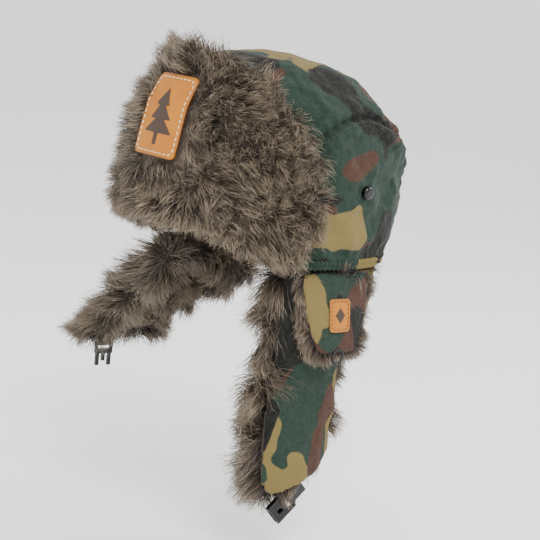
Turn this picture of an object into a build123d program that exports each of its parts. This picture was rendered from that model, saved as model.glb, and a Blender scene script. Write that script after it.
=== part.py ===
"""Trapper hat: crown, turn-up front flap, ear flaps, ear covers, neck flap, chin straps and buckle.

Millimetres. +Z is up with the hat level on a head, -Y is the wearer's front, +X the wearer's left.
The origin is the centre of the head opening, level with the seam above the ears.
Every shell is turned round first, cut to its outline, then stretched front to back and leaned back.
"""
import os
from math import atan2, cos, degrees, radians, sin, sqrt

from build123d import *

# Head and crown
OVAL = 1.09                # front-to-back size over side-to-side size
LEAN = 11.0                # the crown leans back by this many degrees
SHELL = 1.5                # outer cloth with its backing
WADDING = 5.0
LINING = 1.2
WALL_FOOT = (92.5, -50.0)  # radius and height of the crown's side wall, in the crown's own frame
WALL_TOP = (98.0, 87.0)
SHOULDER_R = 52.0          # the wall turns over on this radius
SHOULDER_END = 55.0        # angle where the shoulder meets the shallow top
HEM_OUT = 3.0              # the gathered hem roll stands this far out
HEM_BELOW, HEM_ABOVE = 3.5, 4.0
BASE_LINE = [(-170, 30), (-90, 30), (-45, 0), (170, 0)]       # the crown's edge, seen from the side
ARCH = [(-58, -70), (-46, 50), (-20, 96), (22, 119), (60, 110), (118, 84), (116, 40), (84, -70)]
BUTTON_AT = (35.0, 58.0)   # Y and Z on the crown's side
BUTTON_R, BUTTON_H = 5.5, 4.5

# Ear and neck flaps
CLEAR = 0.6                # gap between pieces that move apart
PAD = 2.5
FUR = 14.0                 # pile and backing of the ear and neck flaps
SKIRT = [(94.0, 0.0), (84.0, -190.0)]
EAR = [(-30, -5), (-31, -104), (-26, -176), (-17, -188), (21, -172), (37, -155), (36, -96), (46, -60), (58, -5)]
EAR_HOLE = (16, -34)       # centre of the hearing hole
EAR_HOLE_R = 13.0
EAR_HINGE = (99.0, -2.0)   # X and Z of the hinge along the ear seam
RIGHT_FLARE = 56.0         # the wearer's right flap stands out from the head at rest
COVER_CONE = [(97.0, -5.0), (109.0, -72.0)]
COVER = [(-20, -5), (-16, -36), (-4, -67), (34, -67), (50, -36), (56, -5)]
NECK_HALF_WIDTH, NECK_LENGTH = 56.0, 58.0
ROUNDING = 7.0

# Front flap, in the crown's own frame
FRONT_CONE = [(100.0, 0.0), (100.0, 91.0), (84.0, 153.0)]
FRONT = [(-170, 34), (-94, 32), (-62, 12), (-34, 8), (-18, 30), (-20, 80), (-42, 120), (-66, 148), (-84, 160), (-170, 160)]
FRONT_FUR = 9.0
STIFFENER = 1.6

PATCH = (50.0, 66.0, 2.4)  # front label: width, height, thickness
PATCH_AT = (12.0, 81.0)    # its middle: to the wearer's left, and up along the lean
BADGE = (22.0, 26.0, 2.0)
BADGE_AT = (16.0, -38.0)
LABEL_CORNER = 5.0

# Fasteners
STRAP_W, STRAP_T, STRAP_L = 12.0, 1.4, 15.0
STRAP_X = 77.0             # between the flap's pad and its pile
STRAP_AT = {1: (17.0, -183.0), -1: (0.0, -185.0)}             # Y and Z, as if both flaps hung
STRAP_SLANT = 47.0         # the left strap is sewn on at this angle, towards the face
BAR_R, LOOP_R = 1.1, 2.7
BUCKLE_W, BUCKLE_T = 18.0, 6.4
RAIL = 2.2
EYE = 6.0                  # room for the strap, under the bar
FEMALE_L = 15.0
MOUTH = (13.0, 3.6, 11.0)
WINDOW = (4.0, 5.0)
MALE_L, ARM_L, ARM_W, PRONG_W = 4.0, 12.0, 3.2, 3.0
ARM_T = 3.0

FAR = 200.0                # beyond everything, for cutting prisms


def own(point):
    """A side-view point of the hat, in the crown's own round frame."""
    y, z = point
    turn = radians(LEAN)
    return (y * cos(turn) - z * sin(turn)) / OVAL, y * sin(turn) + z * cos(turn)


def level(point):
    """A side-view point of the hat, in the round frame of the flaps, which don't lean."""
    return point[0] / OVAL, point[1]


def placed(shape, lean=0.0):
    """A round piece stretched to the head's oval, then leaned back."""
    return scale(shape, by=(1, OVAL, 1)).rotate(Axis.X, -lean)


def prism(outline, low=-FAR, high=FAR):
    """Everything whose side view is inside the outline."""
    with BuildPart() as block:
        with BuildSketch(Plane.YZ.offset(low)):
            with BuildLine():
                FilletPolyline(*outline, radius=ROUNDING, close=True)
            make_face()
        extrude(amount=high - low)
    return block.part


def dome(inset):
    """Solid dome of the crown, moved in along its own normals."""
    rise, run = WALL_TOP[1] - WALL_FOOT[1], WALL_TOP[0] - WALL_FOOT[0]
    slope = degrees(atan2(run, rise))
    out, drop = cos(radians(slope)), sin(radians(slope))
    shoulder = (WALL_TOP[0] - SHOULDER_R * out, WALL_TOP[1] + SHOULDER_R * drop)
    reach = shoulder[0] / cos(radians(SHOULDER_END))
    top = (0, shoulder[1] - reach * sin(radians(SHOULDER_END)))
    with BuildPart() as body:
        with BuildSketch(Plane.XZ):
            with BuildLine():
                foot = (WALL_FOOT[0] - inset * out, WALL_FOOT[1] + inset * drop)
                wall = Line(foot, (WALL_TOP[0] - inset * out, WALL_TOP[1] + inset * drop))
                turn = CenterArc(shoulder, SHOULDER_R - inset, -slope, SHOULDER_END + slope)
                crest = CenterArc(top, SHOULDER_R + reach - inset, SHOULDER_END, 90 - SHOULDER_END)
                Polyline(crest @ 1, (0, foot[1]), foot)
            make_face()
        revolve(axis=Axis.Z)
    return body.part


def wall(profile, outer, thickness):
    """Wall of a turned profile: outer face moved out by outer, and the thickness inside it."""
    with BuildPart() as body:
        with BuildSketch(Plane.XZ):
            with BuildLine():
                outside = [(r + outer, z) for r, z in profile]
                inside = [(r + outer - thickness, z) for r, z in reversed(profile)]
                Polyline(*outside, *inside, close=True)
            make_face()
        revolve(axis=Axis.Z)
    return body.part


def save(shape, name):
    """Labels a finished piece and writes it."""
    shape.label = name
    export_step(shape, f"parts/{name}.step")


def below_base(rise):
    """Everything under the crown's lower edge, moved up by rise."""
    edge = [own((y, z + rise)) for y, z in BASE_LINE]
    return prism(edge + [(FAR, -FAR), (-FAR, -FAR)])


def make_crown():
    """Three cloth panels over wadding, a lining, and the gathered hem roll."""
    below = below_base(0)
    side = prism([own(p) for p in ARCH], 10)
    other = side.mirror(Plane.YZ)
    lined = SHELL + WADDING
    outside, under_cloth, under_wadding, inside = dome(0), dome(SHELL), dome(lined), dome(lined + LINING)
    cloth = outside - under_cloth - below
    save(placed(cloth & side, LEAN), "crown_side_panel_left")
    save(placed(cloth & other, LEAN), "crown_side_panel_right")
    save(placed(cloth - side - other, LEAN), "crown_centre_panel")
    save(placed(under_cloth - under_wadding - below, LEAN), "crown_wadding")
    save(placed(under_wadding - inside - below, LEAN), "crown_lining")
    ring = (dome(-HEM_OUT) - outside) & below_base(HEM_ABOVE)
    save(placed(ring - below_base(-HEM_BELOW), LEAN), "crown_hem_roll")


def make_buttons():
    """Domed buttons on both sides of the crown."""
    y, h = own(BUTTON_AT)
    rise, run = WALL_TOP[1] - WALL_FOOT[1], WALL_TOP[0] - WALL_FOOT[0]
    radius = WALL_FOOT[0] + (h - WALL_FOOT[1]) * run / rise
    x = sqrt(radius * radius - y * y)
    outward = Vector(x, y / OVAL, -radius * run / rise).rotate(Axis.X, -LEAN)
    spot = Vector(x, y * OVAL, h).rotate(Axis.X, -LEAN) + outward.normalized() * 0.05
    with BuildPart() as button:
        with BuildSketch(Plane(origin=spot, z_dir=outward)):
            Circle(BUTTON_R)
        extrude(amount=BUTTON_H)
        rims = button.edges().filter_by(GeomType.CIRCLE).sort_by_distance(spot + outward.normalized() * FAR)
        fillet(rims[:1], BUTTON_H * 0.6)
    save(button.part, "button_left")
    save(button.part.mirror(Plane.YZ), "button_right")


def make_front_flap():
    """Turn-up flap: cloth towards the crown, a stiffener, and the fur outside with the label on it."""
    outline = prism([own(p) for p in FRONT])
    pile = SHELL + STIFFENER + FRONT_FUR
    save(placed(wall(FRONT_CONE, SHELL, SHELL) & outline, LEAN), "front_flap_shell")
    save(placed(wall(FRONT_CONE, SHELL + STIFFENER, STIFFENER) & outline, LEAN), "front_flap_stiffener")
    save(placed(wall(FRONT_CONE, pile, FRONT_FUR) & outline, LEAN), "front_flap_fur")
    with BuildPart() as label:
        with BuildSketch(Plane.XZ.offset(WALL_TOP[0] / 2)):
            with Locations(PATCH_AT):
                RectangleRounded(PATCH[0], PATCH[1], LABEL_CORNER)
        extrude(amount=FAR)
    save(placed(wall(FRONT_CONE, pile + PATCH[2], PATCH[2]) & label.part, LEAN), "front_patch")


def ear_pieces():
    """Left ear flap and its cover, hanging straight down."""
    with BuildPart() as hole:
        with BuildSketch(Plane.YZ):
            with Locations(level(EAR_HOLE)):
                Circle(EAR_HOLE_R)
        extrude(amount=FAR)
    outline = prism([level(p) for p in EAR], 10) - hole.part
    tongue = prism([level(p) for p in COVER], 10)
    with BuildPart() as badge:
        with BuildSketch(Plane.YZ.offset(10)):
            with Locations(level(BADGE_AT)):
                RectangleRounded(BADGE[0] / OVAL, BADGE[1], LABEL_CORNER)
        extrude(amount=FAR)
    pieces = {
        "ear_flap_shell": wall(SKIRT, 0, SHELL) & outline,
        "ear_flap_pad": wall(SKIRT, -SHELL, PAD) & outline,
        "ear_flap_fur": wall(SKIRT, -SHELL - PAD, FUR) & outline,
        "ear_cover_shell": wall(COVER_CONE, 0, SHELL) & tongue,
        "ear_cover_fur": (wall(COVER_CONE, -SHELL, FUR * 2) & tongue) - wall(SKIRT, CLEAR, FUR * 4),
        "ear_cover_badge": wall(COVER_CONE, BADGE[2], BADGE[2]) & badge.part,
    }
    return {name: placed(shape) for name, shape in pieces.items()}


def make_ear_flaps():
    """The left flap hangs; the right one is its mirror image, standing out from the head."""
    for name, shape in ear_pieces().items():
        save(shape, f"{name}_left")
        hinge = Axis((-EAR_HINGE[0], 0, EAR_HINGE[1]), (0, 1, 0))
        save(shape.mirror(Plane.YZ).rotate(hinge, RIGHT_FLARE), f"{name}_right")


def make_neck_flap():
    """Short flap over the nape, fur towards the neck."""
    with BuildPart() as tab:
        with BuildSketch(Plane.XZ.offset(-FAR)):
            with BuildLine():
                FilletPolyline((-NECK_HALF_WIDTH, -5), (NECK_HALF_WIDTH, -5), (NECK_HALF_WIDTH, -NECK_LENGTH),
                               (-NECK_HALF_WIDTH, -NECK_LENGTH), radius=ROUNDING, close=True)
            make_face()
        extrude(amount=FAR - 10)
    save(placed(wall(SKIRT, 0, SHELL) & tab.part), "neck_flap_shell")
    save(placed(wall(SKIRT, -SHELL, FUR) & tab.part), "neck_flap_fur")


def strap_place(side):
    """Where a chin strap leaves its ear flap, and its turn about X; side is 1 for the wearer's left."""
    x, z = STRAP_X, STRAP_AT[side][1]
    if side > 0:
        return Vector(x, *STRAP_AT[side]), -STRAP_SLANT
    turn = radians(RIGHT_FLARE)
    out, down = EAR_HINGE[0] - x, z - EAR_HINGE[1]
    across = out * cos(turn) + down * sin(turn) - EAR_HINGE[0]
    return Vector(across, STRAP_AT[side][0], EAR_HINGE[1] + down * cos(turn) - out * sin(turn)), 0


def save_at(shape, side, name):
    """Writes a strap or buckle, made hanging from the origin, where it hangs from its ear flap."""
    top, slant = strap_place(side)
    save(shape.rotate(Axis.X, slant).translate(top), name)


def make_strap(side, name):
    """Webbing sewn down round the buckle's bar; the bar's middle is STRAP_L below the top."""
    with BuildPart() as strap:
        with BuildSketch(Plane.XZ):
            with Locations((0, -STRAP_L / 2)):
                Rectangle(STRAP_T, STRAP_L)
            with Locations((0, -STRAP_L)):
                Circle(LOOP_R)
                Circle(BAR_R + CLEAR / 2, mode=Mode.SUBTRACT)
        extrude(amount=STRAP_W / 2, both=True)
    save_at(strap.part, side, name)


def buckle_eye():
    """Bar and the two rails that carry it; add it inside a buckle's block."""
    with Locations((0, 0, -STRAP_L)):
        Cylinder(BAR_R, BUCKLE_W, rotation=(90, 0, 0))
        with Locations((0, BUCKLE_W / 2 - RAIL / 2, -EYE / 2), (0, RAIL / 2 - BUCKLE_W / 2, -EYE / 2)):
            Box(BUCKLE_T * 0.6, RAIL, EYE)


def make_female(side, name):
    """Socket half: eye for the strap and a body with an open mouth below."""
    middle = -STRAP_L - EYE - FEMALE_L / 2
    with BuildPart() as socket:
        with Locations((0, 0, middle)):
            Box(BUCKLE_T, BUCKLE_W, FEMALE_L)
        fillet(socket.edges().filter_by(Axis.Z), BUCKLE_T * 0.3)
        buckle_eye()
        with Locations((0, 0, middle - FEMALE_L / 2 + MOUTH[2] / 2)):
            Box(MOUTH[1], MOUTH[0], MOUTH[2], mode=Mode.SUBTRACT)
        # windows that the plug's side arms spring out into
        with Locations((0, 0, middle)):
            Box(BUCKLE_T, WINDOW[0], WINDOW[1], mode=Mode.SUBTRACT)
    save_at(socket.part, side, name)


def make_male(side, name):
    """Plug half: eye for the strap, a cross bar, two side arms and the middle guide."""
    cross = -STRAP_L - EYE - MALE_L / 2
    with BuildPart() as plug:
        with Locations((0, 0, cross)):
            Box(BUCKLE_T, BUCKLE_W, MALE_L)
        fillet(plug.edges().filter_by(Axis.Z), BUCKLE_T * 0.3)
        buckle_eye()
        tips = cross - MALE_L / 2 - ARM_L / 2
        spread = BUCKLE_W / 2 - ARM_W / 2 - RAIL / 2
        with Locations((0, spread, tips), (0, -spread, tips)):
            Box(ARM_T, ARM_W, ARM_L)
        with Locations((0, 0, tips + RAIL)):
            Box(ARM_T, PRONG_W, ARM_L - RAIL * 2)
    save_at(plug.part, side, name)


if __name__ == "__main__":
    os.makedirs("parts", exist_ok=True)
    make_crown()
    make_buttons()
    make_front_flap()
    make_ear_flaps()
    make_neck_flap()
    make_strap(1, "chin_strap_left")
    make_strap(-1, "chin_strap_right")
    make_female(1, "buckle_socket")
    make_male(-1, "buckle_plug")
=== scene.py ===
"""Looks of a padded trapper hat: printed twill, long acrylic fur, leather labels and black fittings."""
from math import cos, pi, radians, sin, sqrt

import bmesh
import bpy
import numpy as np
from mathutils import Matrix, Vector
from mathutils.bvhtree import BVHTree

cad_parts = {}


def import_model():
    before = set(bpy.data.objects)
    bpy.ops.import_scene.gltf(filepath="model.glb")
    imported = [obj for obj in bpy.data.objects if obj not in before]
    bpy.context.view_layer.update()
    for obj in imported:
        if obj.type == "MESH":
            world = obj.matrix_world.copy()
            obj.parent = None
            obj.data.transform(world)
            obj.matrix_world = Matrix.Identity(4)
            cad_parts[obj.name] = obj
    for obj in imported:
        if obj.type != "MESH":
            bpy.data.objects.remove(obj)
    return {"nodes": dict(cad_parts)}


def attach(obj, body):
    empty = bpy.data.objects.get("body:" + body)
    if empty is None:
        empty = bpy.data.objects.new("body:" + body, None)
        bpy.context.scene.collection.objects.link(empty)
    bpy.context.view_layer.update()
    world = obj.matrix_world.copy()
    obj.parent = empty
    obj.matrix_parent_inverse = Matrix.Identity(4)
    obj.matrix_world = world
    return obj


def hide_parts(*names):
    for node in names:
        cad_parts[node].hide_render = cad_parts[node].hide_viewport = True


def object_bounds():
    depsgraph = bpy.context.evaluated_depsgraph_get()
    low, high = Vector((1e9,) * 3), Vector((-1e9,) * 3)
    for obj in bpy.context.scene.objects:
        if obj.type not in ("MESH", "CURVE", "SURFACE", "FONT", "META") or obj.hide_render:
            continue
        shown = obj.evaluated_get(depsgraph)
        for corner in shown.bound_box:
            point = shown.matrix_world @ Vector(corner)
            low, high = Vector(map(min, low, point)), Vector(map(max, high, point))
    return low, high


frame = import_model()
cad_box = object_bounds()

MM = 0.001
OVAL, LEAN = 1.09, radians(11)          # front-to-back stretch and backward lean of the crown
FLARE = radians(56)                     # the right ear flap stands out by this much
HINGE_X, HINGE_Z = 99, -2               # ear flap hinge, along Y
FRONT_R, FRONT_KNEE, FRONT_TAPER = 112.1, 91.0, 16.0 / 62
COVER_R, COVER_SLOPE, COVER_TOP = 97.0, 12.0 / 67.0, -5.0
LEFT_OUT, LEFT_DOWN = (1, 0, 0), (0, 0, -1)
RIGHT_OUT, RIGHT_DOWN = (-cos(FLARE), 0, sin(FLARE)), (-sin(FLARE), 0, -cos(FLARE))
ARCH = [(-58, -70), (-46, 50), (-20, 96), (22, 119), (60, 110), (118, 84), (116, 40), (84, -70)]
BUTTON = (35, 58)
CENTRE_HALF, MIDDLE = 30, np.array((0, 25, 50))      # the centre strip's half width, a point inside
PATCH_X, PATCH_H, PATCH_W, PATCH_TALL = 12.0, 81.0, 50.0, 66.0


# Materials

def linear(code):
    """sRGB hex to a linear colour."""
    parts = [int(code[i:i + 2], 16) / 255 for i in (1, 3, 5)]
    return [p / 12.92 if p <= 0.04045 else ((p + 0.055) / 1.055) ** 2.4 for p in parts] + [1]


def add(tree, kind, inputs=(), **settings):
    """A node with its settings; each input is a value or another node's output."""
    made = tree.nodes.new(kind)
    for name, value in settings.items():
        setattr(made, name, value)
    for name, value in dict(inputs).items():
        if isinstance(value, bpy.types.NodeSocket):
            tree.links.new(value, made.inputs[name])
        else:
            made.inputs[name].default_value = value
    return made


def start(name, roughness, ior=1.5, **sockets):
    """A material with its shader's constants set."""
    made = bpy.data.materials.new(name)
    made.use_nodes = True
    shader = made.node_tree.nodes["Principled BSDF"]
    shader.inputs["Roughness"].default_value = roughness
    shader.inputs["IOR"].default_value = ior
    for key, value in sockets.items():
        shader.inputs[key.replace("_", " ")].default_value = value
    return made, made.node_tree, shader


def mixed(tree, low, high, amount, blend="MIX"):
    """Mixes two colours, each a hex code or an output."""
    made = tree.nodes.new("ShaderNodeMix")
    made.data_type, made.blend_type = "RGBA", blend
    for socket, value in zip((made.inputs[0], made.inputs[6], made.inputs[7]), (amount, low, high)):
        if isinstance(value, bpy.types.NodeSocket):
            tree.links.new(value, socket)
        else:
            socket.default_value = linear(value) if isinstance(value, str) else value
    return made.outputs[2]


def painted(tree, name):
    """The three channels of a colour attribute."""
    layer = add(tree, "ShaderNodeAttribute", attribute_name=name)
    return add(tree, "ShaderNodeSeparateColor", {0: layer.outputs[0]}).outputs


def ramp(tree, value, low, high, top=1.0):
    """Rises from 0 to top as the value goes from low to high."""
    return add(tree, "ShaderNodeMapRange", {0: value, 1: low, 2: high, 4: top}).outputs[0]


def bumped(tree, shader, height, distance, strength=1.0):
    bump = add(tree, "ShaderNodeBump", {"Height": height, "Distance": distance, "Strength": strength})
    tree.links.new(bump.outputs[0], shader.inputs["Normal"])


def camouflage_twill():
    """Brushed polyester twill, screen printed in four flat colours; matt with a faint nap."""
    made, tree, shader = start("camouflage_twill", 0.86, 1.45, Sheen_Weight=0.03, Specular_IOR_Level=0.3)
    place = add(tree, "ShaderNodeTexCoord").outputs["Object"]
    bias = painted(tree, "print")
    wobble = add(tree, "ShaderNodeTexNoise", {"Vector": place, "Scale": 30.0, "Detail": 1.0})
    shift = add(tree, "ShaderNodeVectorMath", {0: wobble.outputs[1], 1: (0.5, 0.5, 0.5)},
                operation="SUBTRACT")
    scaled = add(tree, "ShaderNodeVectorMath", {0: shift.outputs[0], "Scale": 0.045}, operation="SCALE")
    warped = add(tree, "ShaderNodeVectorMath", {0: place, 1: scaled.outputs[0]}, operation="ADD").outputs[0]
    colour = "#13271e"
    # blotches about 45 mm long, darkest colour printed last
    inks = (("#67582f", 0, 24.0, 0.0), ("#382015", 1, 22.0, 3.1), ("#050504", 2, 23.0, 7.7))
    for code, channel, scale, offset in inks:
        spot = add(tree, "ShaderNodeVectorMath", {0: warped, 1: (offset, offset, 0)},
                   operation="ADD").outputs[0]
        blotch = add(tree, "ShaderNodeTexNoise", {"Vector": spot, "Scale": scale, "Detail": 0.4})
        total = add(tree, "ShaderNodeMath", {0: blotch.outputs[0], 1: bias[channel]}, operation="ADD")
        colour = mixed(tree, colour, code, ramp(tree, total.outputs[0], 1.055, 1.07))
    nap = add(tree, "ShaderNodeTexNoise", {"Vector": place, "Scale": 260.0, "Detail": 5.0})
    colour = mixed(tree, colour, "#8d8f82", ramp(tree, nap.outputs[0], 0.35, 0.8, 0.05))
    tree.links.new(colour, shader.inputs["Base Color"])
    # twill line, drawn 1.6 mm apart so that it shows
    line = add(tree, "ShaderNodeTexWave",
               {"Vector": place, "Scale": 196.0, "Distortion": 1.2, "Detail": 2.0},
               bands_direction="DIAGONAL")
    crease = add(tree, "ShaderNodeTexNoise",
                 {"Vector": place, "Scale": 38.0, "Detail": 4.0, "Distortion": 0.8})
    height = add(tree, "ShaderNodeMath", {0: crease.outputs[0], 1: 14.0, 2: line.outputs["Fac"]},
                 operation="MULTIPLY_ADD")
    bumped(tree, shader, height.outputs[0], 0.0004, 0.55)
    return made


def acrylic_fur():
    """Long acrylic pile: dark roots, brown middles, worn grey-beige tips, a soft lengthwise gloss."""
    made, tree, shader = start("acrylic_fur", 0.55, 1.5, Sheen_Weight=0.08)
    parts = painted(tree, "tone")
    length = mixed(tree, "#120d09", "#4a3a2a", ramp(tree, parts[1], 0.05, 0.5))
    length = mixed(tree, length, "#b9ae9c", ramp(tree, parts[1], 0.5, 1.0, 0.75))
    strand = mixed(tree, "#6a5c4e", "#fff8ec", parts[0])
    tree.links.new(mixed(tree, length, strand, 1.0, "MULTIPLY"), shader.inputs["Base Color"])
    return made


def fur_backing():
    """Felted under-fur, dark and matt, seen only between the strands."""
    made, tree, shader = start("fur_backing", 0.9, 1.5, Sheen_Weight=0.1)
    place = add(tree, "ShaderNodeTexCoord").outputs["Object"]
    fluff = add(tree, "ShaderNodeTexNoise", {"Vector": place, "Scale": 220.0, "Detail": 6.0})
    tree.links.new(mixed(tree, "#221b15", "#5d4e40", fluff.outputs[0]), shader.inputs["Base Color"])
    bumped(tree, shader, fluff.outputs[0], 0.003)
    return made


def quilted_lining():
    """Black polyester taffeta, machine quilted in 30 mm diamonds; smooth with a low sheen."""
    made, tree, shader = start("quilted_lining", 0.5, 1.5, Sheen_Weight=0.2)
    place = add(tree, "ShaderNodeTexCoord").outputs["Object"]
    height = None
    for turn in (pi / 4, -pi / 4):
        turned = add(tree, "ShaderNodeMapping", {"Vector": place, "Rotation": (turn, 0, turn)})
        wave = add(tree, "ShaderNodeTexWave", {"Vector": turned.outputs[0], "Scale": 10.5})
        channel = ramp(tree, wave.outputs["Fac"], 0.0, 0.25)
        height = channel if height is None else \
            add(tree, "ShaderNodeMath", {0: height, 1: channel}, operation="MINIMUM").outputs[0]
    weave = add(tree, "ShaderNodeTexNoise", {"Vector": place, "Scale": 900.0, "Detail": 3.0})
    tree.links.new(mixed(tree, "#0b0b0c", "#1d1d1f", weave.outputs[0]), shader.inputs["Base Color"])
    bumped(tree, shader, height, 0.0015)
    return made


def printed_leather():
    """Tan split leather with a printed finish: fine pores, mottled dye, satin."""
    made, tree, shader = start("printed_leather", 0.5, 1.5, Coat_Weight=0.04, Specular_IOR_Level=0.3)
    place = add(tree, "ShaderNodeTexCoord").outputs["Object"]
    mottle = add(tree, "ShaderNodeTexNoise",
                 {"Vector": place, "Scale": 70.0, "Detail": 6.0, "Roughness": 0.65})
    pores = add(tree, "ShaderNodeTexVoronoi", {"Vector": place, "Scale": 900.0})
    tan = mixed(tree, "#8f4e02", "#bb760a", mottle.outputs[0])
    tree.links.new(mixed(tree, tan, "#4a2c14", painted(tree, "rim")[0]), shader.inputs["Base Color"])
    height = add(tree, "ShaderNodeMath", {0: mottle.outputs[0], 1: pores.outputs["Distance"]},
                 operation="ADD")
    bumped(tree, shader, height.outputs[0], 0.0003)
    return made


def plain(name, dark, light, roughness, scale, depth, ior=1.5, **sockets):
    """A speckled single-colour finish with a fine grain of the given scale."""
    made, tree, shader = start(name, roughness, ior, **sockets)
    place = add(tree, "ShaderNodeTexCoord").outputs["Object"]
    grain = add(tree, "ShaderNodeTexNoise", {"Vector": place, "Scale": scale, "Detail": 4.0})
    tree.links.new(mixed(tree, dark, light, grain.outputs[0]), shader.inputs["Base Color"])
    bumped(tree, shader, grain.outputs[0], depth)
    return made


def woven_tape():
    """Polypropylene webbing: herringbone ribs 1.2 mm apart, slightly glossy yarn."""
    made, tree, shader = start("woven_tape", 0.55, 1.49)
    place = add(tree, "ShaderNodeTexCoord").outputs["Object"]
    rib = add(tree, "ShaderNodeTexWave", {"Vector": place, "Scale": 260.0, "Distortion": 0.5},
              bands_direction="DIAGONAL")
    tree.links.new(mixed(tree, "#060607", "#2b2b2e", rib.outputs["Fac"]), shader.inputs["Base Color"])
    bumped(tree, shader, rib.outputs["Fac"], 0.0004)
    return made


twill, fur_mat, backing, lining, leather, tape = (
    camouflage_twill(), acrylic_fur(), fur_backing(), quilted_lining(), printed_leather(), woven_tape())
# moulded acetal: satin black with a fine spark-eroded grain
acetal = plain("moulded_acetal", "#050506", "#0e0e10", 0.38, 1500.0, 0.00008, 1.48, Specular_IOR_Level=0.35)
# domed button, moulded nylon, polished
nylon = plain("polished_nylon", "#030304", "#08080a", 0.2, 300.0, 0.00005, 1.53, Specular_IOR_Level=0.35)
# thick bonded polyester thread, cream
thread = plain("bonded_thread", "#c9b58c", "#efe2c2", 0.6, 1800.0, 0.0002, 1.5, Sheen_Weight=0.2)
# the same thread in dark olive, for the arch seams; its dark line also paints the shade of the seam groove
seam_thread_and_shade = plain("olive_thread_and_seam_shade", "#0d140e", "#26301f", 0.6, 1800.0, 0.0002, 1.5)
# dark printing ink, sunk into the leather
ink = plain("printing_ink", "#24150b", "#3a2412", 0.6, 500.0, 0.0001)
# covered elastic cord
elastic = plain("covered_elastic", "#060607", "#19191b", 0.7, 1600.0, 0.0003)


# Mesh helpers

def obj(name, mesh, *materials):
    piece = bpy.data.objects.new(name, mesh)
    bpy.context.scene.collection.objects.link(piece)
    for finish in materials:
        mesh.materials.append(finish)
    return piece


def bake(piece):
    """Applies a piece's modifiers to its mesh."""
    bpy.context.view_layer.update()
    ready = piece.evaluated_get(bpy.context.evaluated_depsgraph_get())
    fresh = bpy.data.meshes.new_from_object(ready)
    piece.modifiers.clear()
    piece.data = fresh


def read(mesh, what="co", size=3, of="vertices"):
    items = getattr(mesh, of)
    values = np.empty(len(items) * size, dtype=np.float32)
    items.foreach_get(what, values)
    return values.reshape(-1, size).astype(np.float64)


def write(mesh, points):
    mesh.vertices.foreach_set("co", np.asarray(points, dtype=np.float32).ravel())
    mesh.update()


def merged(name, nodes, voxel):
    """One closed quad skin round several CAD solids."""
    shape = bmesh.new()
    for node in nodes:
        shape.from_mesh(frame["nodes"][node].data)
    mesh = bpy.data.meshes.new(name)
    shape.to_mesh(mesh)
    shape.free()
    piece = obj(name, mesh)
    remesh = piece.modifiers.new("skin", "REMESH")
    remesh.mode, remesh.voxel_size = "VOXEL", voxel * MM
    soften = piece.modifiers.new("soften", "SMOOTH")
    soften.factor, soften.iterations = 0.5, 3
    bake(piece)
    return piece


def puffed(piece, pressure, slack, cap, pins=None, frames=14):
    """Stuffs a closed skin: cloth cut a little large, blown out between sewn lines, up to a cap in mm."""
    before = read(piece.data)
    cloth = piece.modifiers.new("puff", "CLOTH")
    feel = cloth.settings
    feel.quality, feel.mass, feel.air_damping = 4, 0.3, 2.0
    feel.tension_stiffness = feel.compression_stiffness = 20
    feel.shear_stiffness, feel.bending_stiffness = 8, 0.4
    feel.use_pressure, feel.uniform_pressure_force = True, pressure
    feel.shrink_min, feel.effector_weights.gravity = -slack, 0
    if pins is not None:
        sewn = piece.vertex_groups.new(name="sewn")
        sewn.add([int(i) for i in np.flatnonzero(pins)], 1.0, "REPLACE")
        feel.vertex_group_mass = "sewn"
    cloth.point_cache.frame_start, cloth.point_cache.frame_end = 1, frames
    for frame_number in range(1, frames + 1):
        bpy.context.scene.frame_set(frame_number)
    bake(piece)
    move = read(piece.data) - before
    size = np.linalg.norm(move, axis=1)
    write(piece.data, before + move * np.minimum(1, cap * MM / (size + 1e-9))[:, None])
    bpy.context.scene.frame_set(1)


def finer(piece, levels=1):
    sub = piece.modifiers.new("finer", "SUBSURF")
    sub.levels = sub.render_levels = levels
    bake(piece)


def waves(points, size, seed, count=14):
    """Smooth random field, about -1 to 1, with features of the given size in mm."""
    source = np.random.default_rng(seed)
    total = np.zeros(len(points))
    for _ in range(count):
        way = source.normal(size=3)
        way *= 2 * pi / size / np.linalg.norm(way) * source.uniform(0.5, 1.2)
        total += np.sin(points @ way + source.uniform(0, 2 * pi))
    return total / sqrt(count)


def colour_attribute(mesh, name, rgb):
    layer = mesh.attributes.new(name, "FLOAT_COLOR", "POINT")
    values = np.ones((len(mesh.vertices), 4), dtype=np.float32)
    values[:, :3] = rgb
    layer.data.foreach_set("color", values.ravel())


def own_frame(points):
    """World points in the crown's own round frame."""
    x, y, z = points.T
    return np.stack([x, (y * cos(LEAN) - z * sin(LEAN)) / OVAL, y * sin(LEAN) + z * cos(LEAN)], axis=1)


def world(x, y, z):
    """A point of the crown's own round frame, in the world."""
    y = y * OVAL
    return np.stack([x, y * cos(LEAN) + z * sin(LEAN), -y * sin(LEAN) + z * cos(LEAN)], axis=-1)


def chaikin(points, rounds=4):
    points = np.array(points, dtype=float)
    for _ in range(rounds):
        a, b = points[:-1], points[1:]
        cut = np.stack([a * 0.75 + b * 0.25, a * 0.25 + b * 0.75], 1).reshape(-1, 2)
        points = np.concatenate([points[:1], cut, points[-1:]])
    return points


def to_line(flat, line):
    """Distance of side-view points to a line, and how far along it they are."""
    best = np.full(len(flat), 1e9)
    along = np.zeros(len(flat))
    run = 0.0
    for a, b in zip(line[:-1], line[1:]):
        span = b - a
        size = np.linalg.norm(span)
        if size < 1e-6:
            continue
        t = np.clip(((flat - a) @ span) / size ** 2, 0, 1)
        gap = np.linalg.norm(flat - a - t[:, None] * span, axis=1)
        closer = gap < best
        best[closer] = gap[closer]
        along[closer] = run + t[closer] * size
        run += size
    return best, along


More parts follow.
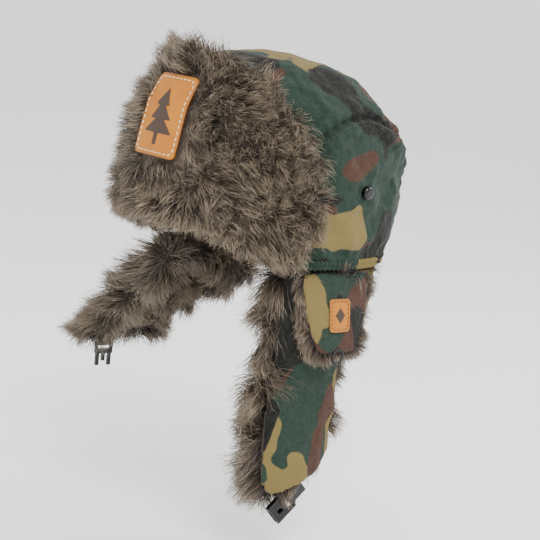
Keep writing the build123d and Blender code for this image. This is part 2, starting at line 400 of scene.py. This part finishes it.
def blobs(points, spots):
    """Print bias from soft blobs: each is a centre, a radius and the colours it favours."""
    rgb = np.full((len(points), 3), 0.5)
    for centre, radius, favour in spots:
        near = np.exp(-(((points - np.array(centre)) / np.array(radius)) ** 2).sum(1))
        rgb += near[:, None] * np.array(favour)
    return rgb


# Crown

CROWN_PRINT = [
    ((75, -5, 112), (50, 44, 34), (-.3, -.3, -.15)),
    ((10, 35, 156), (80, 55, 12), (.34, -.25, -.15)),
    ((40, 80, 125), (60, 20, 22), (-.3, .36, -.2)),
    ((45, 25, 142), (60, 14, 12), (-.3, -.3, .2)),
    ((98, 20, 82), (40, 26, 19), (-.3, .46, -.1)),
    ((95, 62, 62), (40, 30, 40), (-.3, -.35, -.2)),
    ((95, 18, 26), (40, 40, 14), (.30, -.25, -.2)),
    ((20, -40, 140), (26, 14, 12), (-.3, -.2, .4)),
]


def stitching_and_seam_shade(points, faces):
    """Thread along the arch seams, 3 mm outside the line, laid on the finished cloth; its dark colour
    paints the shade line of the seam.
    """
    skin = BVHTree.FromPolygons([tuple(p) for p in points], faces)
    line = chaikin(ARCH)
    marks = np.concatenate([[0], np.cumsum(np.linalg.norm(np.diff(line, axis=0), axis=1))])
    shape = bmesh.new()
    for side in (1, -1):
        for at in np.arange(2, marks[-1], 3.6):
            here, ahead = (np.array([np.interp(at + d, marks, line[:, k]) for k in (0, 1)]) for d in (0, 1))
            along = ahead - here
            y, z = here + 3.0 * np.array((along[1], -along[0]))
            hit, normal, _, _ = skin.ray_cast(Vector((200 * side, y, z)), Vector((-side, 0, 0)))
            if hit is None or z < 5 or abs(hit.x) < CENTRE_HALF:
                continue
            way = Vector((0, *along))
            way = (way - normal * way.dot(normal)).normalized()
            turn = Matrix((way, normal.cross(way), normal)).transposed().to_4x4()
            made = bmesh.ops.create_icosphere(shape, subdivisions=2, radius=0.5)
            bmesh.ops.scale(shape, vec=(2.9, 0.8, 0.6), verts=made["verts"])
            laid = Matrix.Translation(hit + normal * 0.1) @ turn
            bmesh.ops.transform(shape, matrix=laid, verts=made["verts"])
    bmesh.ops.scale(shape, vec=(MM, MM, MM), verts=shape.verts)
    mesh = bpy.data.meshes.new("crown_stitching_and_seam_shade")
    shape.to_mesh(mesh)
    shape.free()
    mesh.polygons.foreach_set("use_smooth", np.ones(len(mesh.polygons), dtype=bool))
    piece = obj("crown_stitching_and_seam_shade", mesh, seam_thread_and_shade)
    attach(piece, "crown")


def make_crown():
    """Padded crown: grooved and puckered panel seams, soft dents, quilted lining inside."""
    nodes = ["crown_centre_panel", "crown_side_panel_left", "crown_side_panel_right",
             "crown_wadding", "crown_lining"]
    piece = merged("crown_cloth", nodes, 3.2)
    raw = read(piece.data) / MM
    seam, _ = to_line(raw[:, 1:], chaikin(ARCH))
    sewn = (seam < 2.2) & (np.abs(raw[:, 0]) > CENTRE_HALF)
    sewn |= raw[:, 2] < 4
    sewn |= np.hypot(raw[:, 1] - BUTTON[0], raw[:, 2] - BUTTON[1]) < 5
    puffed(piece, 3.0, 0.03, 4.0, sewn)
    finer(piece)
    mesh = piece.data
    points = read(mesh) / MM
    normals = read(mesh, "normal")
    outward = (normals * (points - MIDDLE)).sum(1) > 0
    line = chaikin(ARCH)
    gap, along = to_line(points[:, 1:], line)
    side = np.abs(points[:, 0]) > CENTRE_HALF
    gap = np.where(side, gap, 99.0)
    tug = 0.6 + 0.5 * np.sin(along / 11 * 2 * pi + 2.0 * waves(points, 60, 3))
    move = -3.6 * np.exp(-(gap / 2.0) ** 2) + 1.8 * np.exp(-((gap - 7) / 5) ** 2)
    move += -1.6 * tug * np.exp(-gap / 8) * (gap < 40)
    move += 1.5 * waves(points, 75, 5) + 0.55 * waves(points * np.array((1, 1, 1.8)), 24, 6)
    from_button = np.hypot(points[:, 1] - BUTTON[0], points[:, 2] - BUTTON[1])
    spokes = np.arctan2(points[:, 2] - BUTTON[1], points[:, 1] - BUTTON[0])
    move = np.where(side, move * (1 - np.exp(-(from_button / 9) ** 2)), move)
    dimple = 1.3 * np.exp(-((from_button - 9) / 4) ** 2) * (0.7 + 0.5 * np.sin(spokes * 5))
    move -= np.where(side, dimple, 0)
    own = own_frame(points)
    around = np.arctan2(own[:, 1], own[:, 0]) * 98
    edge = np.exp(-np.clip(points[:, 2] - 2, 0, None) / 9)
    move += -1.1 * edge * (0.5 + 0.5 * np.sin(around / 7.5 * 2 * pi + 2.5 * waves(points, 40, 8)))
    points = points + normals * np.where(outward, move, 0)[:, None]
    write(mesh, points * MM)
    colour_attribute(mesh, "print", blobs(points, CROWN_PRINT))
    mesh.materials.append(twill)
    mesh.materials.append(lining)
    faces = read(mesh, "normal", 3, "polygons")
    centres = read(mesh, "center", 3, "polygons") / MM
    inner = (faces * (centres - MIDDLE)).sum(1) < 0
    mesh.polygons.foreach_set("material_index", inner.astype(np.int32))
    mesh.polygons.foreach_set("use_smooth", np.ones(len(mesh.polygons), dtype=bool))
    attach(piece, "crown")
    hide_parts(*nodes)
    stitching_and_seam_shade(points, [tuple(p.vertices) for p in mesh.polygons])


def make_hem():
    """Gathered roll along the crown's edge, ribbed where the elastic pulls it in."""
    piece = merged("crown_hem", ["crown_hem_roll"], 1.1)
    mesh = piece.data
    points, normals = read(mesh) / MM, read(mesh, "normal")
    own = own_frame(points)
    around = np.arctan2(own[:, 1], own[:, 0]) * 98
    rib = np.sin(around / 4.1 * 2 * pi + 1.6 * waves(points, 30, 12))
    seam = np.exp(-((points[:, 2] + 0.5) / 0.9) ** 2) * (points[:, 1] > -30)
    move = 0.7 * rib + 0.5 * waves(points, 35, 13) - 0.9 * seam
    points = points + normals * move[:, None]
    write(mesh, points * MM)
    colour_attribute(mesh, "print", blobs(points, [((95, -10, 0), (60, 38, 30), (-.3, -.3, -.2)),
                                                  ((95, 60, 0), (60, 36, 30), (.3, -.1, -.1))]))
    mesh.materials.append(twill)
    mesh.polygons.foreach_set("use_smooth", np.ones(len(mesh.polygons), dtype=bool))
    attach(piece, "crown")
    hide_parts("crown_hem_roll")


# Fur

def fur(name, body, node, count, length, keep, comb, seed, width, root, lift, tuft=34, grow=None):
    """Ribbon strands in tufts, rooted just under the faces of a CAD solid that keep() picks."""
    source = np.random.default_rng(seed)
    mesh = frame["nodes"][node].data
    mesh.calc_loop_triangles()
    corners = read(mesh) / MM
    tris = np.array([t.vertices[:] for t in mesh.loop_triangles])
    a, b, c = corners[tris[:, 0]], corners[tris[:, 1]], corners[tris[:, 2]]
    cross = np.cross(b - a, c - a)
    area = np.linalg.norm(cross, axis=1) + 1e-9
    facing = cross / area[:, None]
    chance = area * keep((a + b + c) / 3, facing)
    pick = source.choice(len(tris), size=count, p=chance / chance.sum())
    u, v = source.random(count), source.random(count)
    flip = u + v > 1
    u[flip], v[flip] = 1 - u[flip], 1 - v[flip]
    foot = a[pick] + (b - a)[pick] * u[:, None] + (c - a)[pick] * v[:, None]
    normal = facing[pick]
    way = normal * lift + comb(foot, normal) + source.normal(scale=0.2, size=(count, 3))
    way += 0.55 * np.stack([waves(foot, 34, seed + k) for k in (1, 2, 3)], axis=1)
    way /= np.linalg.norm(way, axis=1)[:, None]
    size = length * source.uniform(0.6, 1.15, count) * (1 if grow is None else grow(foot))
    start_at = foot - normal * root
    # strands lean to the tip of the nearest tuft
    leaders = source.choice(count, size=max(4, count // tuft), replace=False)
    mates = np.empty(count, dtype=int)
    for low in range(0, count, 2000):
        part = foot[low:low + 2000]
        mates[low:low + 2000] = ((part[:, None, :] - foot[None, leaders, :]) ** 2).sum(2).argmin(1)
    tip_of = (start_at + way * size[:, None])[leaders][mates]
    own_tip = start_at + way * size[:, None]
    pull = source.uniform(0.15, 0.7, count)[:, None]
    tip = own_tip * (1 - pull) + tip_of * pull
    bow = source.normal(scale=0.07, size=(count, 3)) * size[:, None] + normal * 0.14 * size[:, None]
    steps = np.array((0.0, 0.35, 0.7, 1.0))
    lines = start_at[:, None, :] + (tip - start_at)[:, None, :] * steps[None, :, None] \
        + bow[:, None, :] * (4 * steps * (1 - steps))[None, :, None]
    curve = bpy.data.curves.new(name, "CURVE")
    curve.dimensions, curve.extrude = "3D", width * MM / 2
    radius = np.array((0.8, 1.0, 0.7, 0.06), dtype=np.float32)
    co = np.ones((count, 4, 4), dtype=np.float32)
    co[:, :, :3] = lines * MM
    turn = source.uniform(0, pi, count)
    for k in range(count):
        strand = curve.splines.new("POLY")
        strand.points.add(3)
        strand.points.foreach_set("co", co[k].ravel())
        strand.points.foreach_set("radius", radius)
        strand.points.foreach_set("tilt", np.full(4, turn[k], dtype=np.float32))
    holder = bpy.data.objects.new(name, curve)
    bpy.context.scene.collection.objects.link(holder)
    bpy.context.view_layer.update()
    made = bpy.data.meshes.new_from_object(holder.evaluated_get(bpy.context.evaluated_depsgraph_get()))
    bpy.data.objects.remove(holder)
    each = len(made.vertices) // count
    ends = read(made).reshape(count, each, 3) / MM
    far = np.linalg.norm(ends - start_at[:, None, :], axis=2)
    far /= np.linalg.norm(tip - start_at, axis=1)[:, None]
    family = source.random(len(leaders))[mates]
    tone = np.clip(0.5 * family + 0.5 * source.random(count), 0, 1)
    rgb = np.zeros((count, each, 3))
    rgb[:, :, 0] = tone[:, None]
    rgb[:, :, 1] = np.clip(far, 0, 1)
    made.materials.clear()
    colour_attribute(made, "tone", rgb.reshape(-1, 3))
    piece = obj(name, made, fur_mat)
    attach(piece, body)
    return piece


def flap_body(name, body, nodes, voxel, out, shrink, spots, wrinkle=0.7):
    """One flap: printed cloth where out() faces, fur backing on the rest, drawn in under the pile."""
    piece = merged(name, nodes, voxel)
    puffed(piece, 3.0, 0.02, 2.5)
    finer(piece)
    mesh = piece.data
    points, normals = read(mesh) / MM, read(mesh, "normal")
    cloth = np.clip(((normals * out(points)).sum(1) - 0.1) / 0.4, 0, 1)
    move = -shrink * (1 - cloth) + cloth * wrinkle * (waves(points, 46, 21) + 0.5 * waves(points, 17, 22))
    points = points + normals * move[:, None]
    write(mesh, points * MM)
    colour_attribute(mesh, "print", blobs(points, spots))
    mesh.materials.append(twill)
    mesh.materials.append(backing)
    faces, centres = read(mesh, "normal", 3, "polygons"), read(mesh, "center", 3, "polygons") / MM
    furred = (faces * out(centres)).sum(1) < 0.3
    mesh.polygons.foreach_set("material_index", furred.astype(np.int32))
    mesh.polygons.foreach_set("use_smooth", np.ones(len(mesh.polygons), dtype=bool))
    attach(piece, body)
    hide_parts(*nodes)
    return piece


def inward(points):
    """Towards the crown's own axis."""
    behind = points[:, 1] - np.tan(LEAN) * points[:, 2]
    ways = np.stack([-points[:, 0], -behind, np.zeros(len(points))], axis=1)
    return ways / (np.linalg.norm(ways, axis=1)[:, None] + 1e-6)


def make_front_flap():
    """Turned-up flap with the pile outside; it lies flatter behind the label."""
    nodes = ["front_flap_shell", "front_flap_stiffener", "front_flap_fur"]
    flap_body("front_flap_pad", "front_flap", nodes, 3.4, inward, 4.0,
              [((0, -60, 150), (90, 60, 20), (.1, .1, 0))])
    middle = np.array((14, -112, 98))

    def pile(centres, facing):
        own = own_frame(centres)
        label = np.abs(own[:, 0] - PATCH_X) < PATCH_W / 2 - 1
        label &= np.abs(own[:, 2] - PATCH_H) < PATCH_TALL / 2 - 1
        towards = (facing * inward(centres)).sum(1)
        return np.where((towards > 0.5) | label, 0, np.where(np.abs(towards) < 0.5, 2.6, 1.0))

    def away(foot, normal):
        ways = foot - middle
        ways /= np.linalg.norm(ways, axis=1)[:, None] + 1e-6
        ways[:, 2] -= 0.18
        ways[:, 1] = np.where(ways[:, 1] > 0, 0.3 * ways[:, 1], ways[:, 1])
        # the rear edge is brushed down along the crown
        rear = np.clip(normal[:, 1] * 1.3, 0, 1)[:, None] * (foot[:, 1] > -70)[:, None]
        return ways * 0.75 * (1 - rear) + rear * (np.array((0.1, -0.35, -0.7)) - 0.7 * normal)

    for part in range(2):
        fur(f"front_flap_pile_{part}", "front_flap", "front_flap_fur", 24000, 22.0, pile, away,
            31 + 40 * part, 0.44, 6.0, 0.42)


def raised(shape, thick):
    """Gives a flat sheet its thickness, upwards."""
    made = bmesh.ops.extrude_face_region(shape, geom=shape.faces[:])
    verts = [g for g in made["geom"] if isinstance(g, bmesh.types.BMVert)]
    bmesh.ops.translate(shape, verts=verts, vec=(0, 0, thick))


def leather_plate(name, body, wide, tall, corner, thick, put, node):
    """Rounded leather label with a burnished rim, laid on a curved surface by put(u, v, w)."""
    shape = bmesh.new()
    bmesh.ops.create_grid(shape, x_segments=28, y_segments=34, size=0.5)
    for vert in shape.verts:
        u, v = vert.co.x * wide, vert.co.y * tall
        su, sv = abs(u) - (wide / 2 - corner), abs(v) - (tall / 2 - corner)
        if su > 0 and sv > 0:
            reach = max(su, sv) / sqrt(su * su + sv * sv)
            u = (wide / 2 - corner + su * reach) * (1 if u > 0 else -1)
            v = (tall / 2 - corner + sv * reach) * (1 if v > 0 else -1)
        vert.co = (u, v, 0)
    raised(shape, thick)
    bmesh.ops.recalc_face_normals(shape, faces=shape.faces[:])
    rims = [e for e in shape.edges if e.calc_face_angle(0) > 0.8]
    bmesh.ops.bevel(shape, geom=rims, offset=0.5, segments=2, profile=0.5, affect="EDGES", material=-1)
    mesh = bpy.data.meshes.new(name)
    shape.to_mesh(mesh)
    shape.free()
    flat = read(mesh)
    from_edge = np.minimum(wide / 2 - np.abs(flat[:, 0]), tall / 2 - np.abs(flat[:, 1]))
    rim = np.clip(1 - from_edge / 0.9, 0, 1)
    dent = -0.35 * np.exp(-((from_edge - 3.0) / 0.9) ** 2) + 0.25 * waves(flat, 22, 51)
    write(mesh, put(flat[:, 0], flat[:, 1], flat[:, 2] + dent) * MM)
    colour_attribute(mesh, "rim", np.stack([rim, rim, rim], axis=1))
    mesh.polygons.foreach_set("use_smooth", np.ones(len(mesh.polygons), dtype=bool))
    piece = obj(name, mesh, leather)
    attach(piece, body)
    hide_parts(node)


def stitches(name, body, wide, tall, corner, inset, pitch, length, thick, height, put, finish):
    """A row of thread capsules round a label, each sunk a little at its ends."""
    half_w, half_t = wide / 2 - inset, tall / 2 - inset
    r = corner - inset * 0.4
    ring = []
    for cx, cy, begin in ((1, 1, 0), (-1, 1, 90), (-1, -1, 180), (1, -1, 270)):
        for k in range(7):
            turn = radians(begin + 15 * k)
            ring.append((cx * (half_w - r) + r * cos(turn), cy * (half_t - r) + r * sin(turn)))
    ring = np.array(ring + ring[:1])
    spans = np.linalg.norm(np.diff(ring, axis=0), axis=1)
    marks = np.concatenate([[0], np.cumsum(spans)])
    count = round(marks[-1] / pitch)
    shape = bmesh.new()
    for k in range(count):
        at = marks[-1] * k / count
        x, y = np.interp(at, marks, ring[:, 0]), np.interp(at, marks, ring[:, 1])
        on = min(at + 0.5, marks[-1])
        x2, y2 = np.interp(on, marks, ring[:, 0]), np.interp(on, marks, ring[:, 1])
        turn = Matrix.Rotation(np.arctan2(y2 - y, x2 - x), 4, "Z")
        made = bmesh.ops.create_icosphere(shape, subdivisions=2, radius=0.5)
        bmesh.ops.scale(shape, vec=(length, thick, thick), verts=made["verts"])
        bmesh.ops.transform(shape, matrix=Matrix.Translation((x, y, height)) @ turn, verts=made["verts"])
    mesh = bpy.data.meshes.new(name)
    shape.to_mesh(mesh)
    shape.free()
    flat = read(mesh)
    write(mesh, put(flat[:, 0], flat[:, 1], flat[:, 2] + 0.25 * waves(flat, 22, 51)) * MM)
    mesh.polygons.foreach_set("use_smooth", np.ones(len(mesh.polygons), dtype=bool))
    piece = obj(name, mesh, finish)
    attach(piece, body)


def inked(name, body, profile, height, put):
    """A printed mark 0.3 mm thick, alike on both sides, from half widths at rising heights."""
    rises, halves = np.array(profile, dtype=float).T
    shape = bmesh.new()
    bmesh.ops.create_grid(shape, x_segments=12, y_segments=96, size=0.5)
    for vert in shape.verts:
        v = rises[0] + (vert.co.y + 0.5) * (rises[-1] - rises[0])
        vert.co = (2 * vert.co.x * np.interp(v, rises, halves), v, height - 0.3)
    raised(shape, 0.3)
    bmesh.ops.recalc_face_normals(shape, faces=shape.faces[:])
    mesh = bpy.data.meshes.new(name)
    shape.to_mesh(mesh)
    shape.free()
    flat = read(mesh)
    write(mesh, put(flat[:, 0], flat[:, 1], flat[:, 2] + 0.25 * waves(flat, 22, 51)) * MM)
    piece = obj(name, mesh, ink)
    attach(piece, body)


def on_front(u, v, w):
    """Label coordinates on the front flap's outer side."""
    h = PATCH_H + v
    r = FRONT_R - np.clip(h - FRONT_KNEE, 0, None) * FRONT_TAPER + w
    turn = (u + PATCH_X) / FRONT_R
    return world(r * np.sin(turn), -r * np.cos(turn), h)


def make_front_patch():
    """Leather label with a stamped fir tree."""
    def put(u, v, w):
        return on_front(u, v, w + 1.6)
    leather_plate("front_label", "front_flap", PATCH_W, PATCH_TALL, 6.0, 2.4, put, "front_patch")
    stitches("front_label_thread", "front_flap", PATCH_W, PATCH_TALL,
             6.0, 3.2, 4.6, 3.2, 0.9, 2.35, put, thread)
    tree = [(-24, 2), (-15.1, 2), (-15, 16), (-4.1, 5), (-4, 12), (6.9, 3.5), (7, 8), (21, 0.1)]
    inked("front_label_tree", "front_flap", tree, 2.6, put)


def left_ear(points):
    """Left-side points as they are."""
    return points


def right_ear(points):
    """Left-side points moved to the flared right flap."""
    x, y, z = -points[..., 0], points[..., 1], points[..., 2]
    dx, dz = x + HINGE_X, z - HINGE_Z
    across = -HINGE_X + dx * cos(FLARE) + dz * sin(FLARE)
    return np.stack([across, y, HINGE_Z - dx * sin(FLARE) + dz * cos(FLARE)], axis=-1)


EAR_PRINT_AND_SHADE = [
    # black print round the cover's front edge, which also paints the shade that the cover casts on the flap
    ((95, -15, -30), (40, 34, 46), (-.3, -.1, .36)),
    ((90, -8, -128), (40, 16, 34), (-.3, -.35, -.3)),
    ((90, 10, -100), (40, 10, 34), (-.3, -.35, -.3)),
    ((90, 18, -145), (40, 14, 34), (-.3, .36, -.2)),
    ((90, 0, -172), (40, 22, 14), (.38, -.3, -.3)),
    ((90, 34, -120), (40, 6, 40), (.36, -.2, -.3)),
]
COVER_PRINT = [
    ((105, -8, -35), (30, 20, 40), (.36, -.2, -.3)),
    ((105, 38, -40), (30, 24, 45), (-.3, .3, .12)),
]


def make_ear(side, place, out, down):
    """One ear flap and its cover, with their pile."""
    out_dir, down_dir = np.array(out), np.array(down)

    def facing(points):
        return np.broadcast_to(out_dir, points.shape)

    def spots(list_of):
        return [(tuple(place(np.array([c], dtype=float))[0]), (max(r), r[1], max(r[2], r[1])), f)
                for c, r, f in list_of]

    def hairy(centres, normals):
        towards = (normals * out_dir).sum(1)
        return np.where(towards > 0.4, 0, np.where(np.abs(towards) < 0.4, 3.0, 1.0))

    def hang(foot, normal):
        return down_dir * 0.55 + np.zeros_like(foot)

    flap, cover = f"ear_flap_{side}", f"ear_cover_{side}"
    flap_body(f"{flap}_pad", flap, [f"ear_flap_{n}_{side}" for n in ("shell", "pad", "fur")],
              3.0, facing, 4.0, spots(EAR_PRINT_AND_SHADE), 1.1)
    fur(f"{flap}_pile", flap, f"ear_flap_fur_{side}", 19000, 24.0, hairy, hang, 61, 0.48, 6.0, 0.75,
        grow=lambda foot: 1 + 0.4 * np.clip((-10 - foot[:, 1]) / 15, 0, 1))
    flap_body(f"{cover}_pad", cover, [f"ear_cover_{n}_{side}" for n in ("shell", "fur")],
              2.2, facing, 2.0, spots(COVER_PRINT), 0.6)
    fur(f"{cover}_pile", cover, f"ear_cover_fur_{side}", 7000, 17.0, hairy, hang, 81, 0.45, 4.0, 0.8)

    def on_cover(u, v, w):
        y, z = 16 + u, -38 + v
        r = COVER_R + (COVER_TOP - z) * COVER_SLOPE + w + 0.2
        return place(np.stack([np.sqrt(r * r - (y / OVAL) ** 2), y + 0 * r, z + 0 * r], axis=-1))

    leather_plate(f"{cover}_badge", cover, 22, 26, 4.0, 2.0, on_cover, f"ear_cover_badge_{side}")
    stitches(f"{cover}_badge_thread", cover, 22, 26, 4.0, 2.2, 3.2, 2.0, 0.7, 1.95, on_cover, ink)
    inked(f"{cover}_badge_mark", cover, [(-6, 0.1), (0, 5), (6, 0.1)], 2.15, on_cover)
    # elastic loop that catches the crown's button
    loop = bmesh.new()
    ring = bmesh.ops.create_circle(loop, segments=10, radius=0.9)
    bmesh.ops.translate(loop, verts=ring["verts"], vec=(4.6, 0, 0))
    bmesh.ops.rotate(loop, verts=ring["verts"], cent=(4.6, 0, 0), matrix=Matrix.Rotation(pi / 2, 3, "X"))
    bmesh.ops.spin(loop, geom=loop.verts[:] + loop.edges[:], cent=(0, 0, 0), axis=(0, 0, 1),
                   angle=2 * pi, steps=36, use_merge=True)
    bmesh.ops.recalc_face_normals(loop, faces=loop.faces[:])
    mesh = bpy.data.meshes.new(f"{cover}_loop")
    loop.to_mesh(mesh)
    loop.free()
    u, v, w = read(mesh).T
    write(mesh, place(np.stack([107.5 + w + v * 0.15, 15 + u, -70 + v * 1.25], axis=-1)) * MM)
    mesh.polygons.foreach_set("use_smooth", np.ones(len(mesh.polygons), dtype=bool))
    piece = obj(f"{cover}_loop", mesh, elastic)
    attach(piece, cover)


def make_neck_flap():
    """Short nape flap: printed outside, pile towards the neck."""
    def facing(points):
        ways = np.stack([points[:, 0], points[:, 1], np.zeros(len(points))], axis=1)
        return ways / (np.linalg.norm(ways, axis=1)[:, None] + 1e-6)

    def hairy(centres, normals):
        towards = (normals * facing(centres)).sum(1)
        return np.where(towards > 0.4, 0, np.where(np.abs(towards) < 0.4, 3.0, 1.0))

    flap_body("neck_flap_pad", "neck_flap", ["neck_flap_shell", "neck_flap_fur"], 3.0, facing, 4.0,
              [((40, 100, -30), (40, 40, 40), (.3, -.1, -.2))], 0.9)
    fur("neck_flap_pile", "neck_flap", "neck_flap_fur", 10000, 21.0, hairy,
        lambda foot, normal: np.array((0, 0, -0.6)) + np.zeros_like(foot), 91, 0.48, 6.0, 0.7)


def finish_node(node, finish):
    """Gives a CAD node that stays its real finish."""
    mesh = frame["nodes"][node].data
    mesh.materials.clear()
    mesh.materials.append(finish)


# Studio

def light(name, place, aim, size, power):
    lamp = bpy.data.lights.new(name, "AREA")
    lamp.shape, lamp.size, lamp.energy = "DISK", size, power
    holder = bpy.data.objects.new(name, lamp)
    holder.location = place
    holder.rotation_euler = (Vector(aim) - Vector(place)).to_track_quat("-Z", "Y").to_euler()
    bpy.context.scene.collection.objects.link(holder)


def make_studio():
    """Pale floor, soft lights, and a camera off the hat's left front."""
    shape = bmesh.new()
    bmesh.ops.create_grid(shape, x_segments=2, y_segments=2, size=6)
    bmesh.ops.translate(shape, verts=shape.verts, vec=(0, 0, cad_box[0][2] - 0.03))
    mesh = bpy.data.meshes.new("floor")
    shape.to_mesh(mesh)
    shape.free()
    floor = obj("floor", mesh, plain("white_sweep", "#fbfbfa", "#ffffff", 0.9, 3.0, 0.0001))
    world_bg = bpy.data.worlds.new("studio")
    world_bg.use_nodes = True
    world_bg.node_tree.nodes["Background"].inputs[0].default_value = (1, 1, 1, 1)
    world_bg.node_tree.nodes["Background"].inputs[1].default_value = 1.5
    bpy.context.scene.world = world_bg
    light("key", (1.6, -0.6, 1.6), (0, 0, 0.02), 0.9, 46)
    light("fill", (0.3, -2.0, 0.7), (0, 0, 0), 1.4, 16)
    light("back", (0.8, 1.8, 1.3), (0, 0, 0.05), 0.9, 30)
    turn, rise, roll, away = radians(55), radians(9), radians(6), 1.30
    aim = Vector((0.008, 0.012, -0.020))
    way = Vector((sin(turn) * cos(rise), -cos(turn) * cos(rise), sin(rise)))
    eye = bpy.data.cameras.new("camera")
    eye.lens, eye.clip_start = 105, 0.05
    holder = bpy.data.objects.new("camera", eye)
    look = (-way).to_track_quat("-Z", "Y").to_matrix().to_4x4() @ Matrix.Rotation(roll, 4, "Z")
    holder.matrix_world = Matrix.Translation(aim + way * away) @ look
    bpy.context.scene.collection.objects.link(holder)
    bpy.context.scene.camera = holder


make_crown()
make_hem()
make_front_flap()
make_front_patch()
make_ear("left", left_ear, LEFT_OUT, LEFT_DOWN)
make_ear("right", right_ear, RIGHT_OUT, RIGHT_DOWN)
make_neck_flap()
for fitting in ("buckle_socket", "buckle_plug"):
    finish_node(fitting, acetal)
for fitting in ("button_left", "button_right"):
    finish_node(fitting, nylon)
for fitting in ("chin_strap_left", "chin_strap_right"):
    finish_node(fitting, tape)
make_studio()
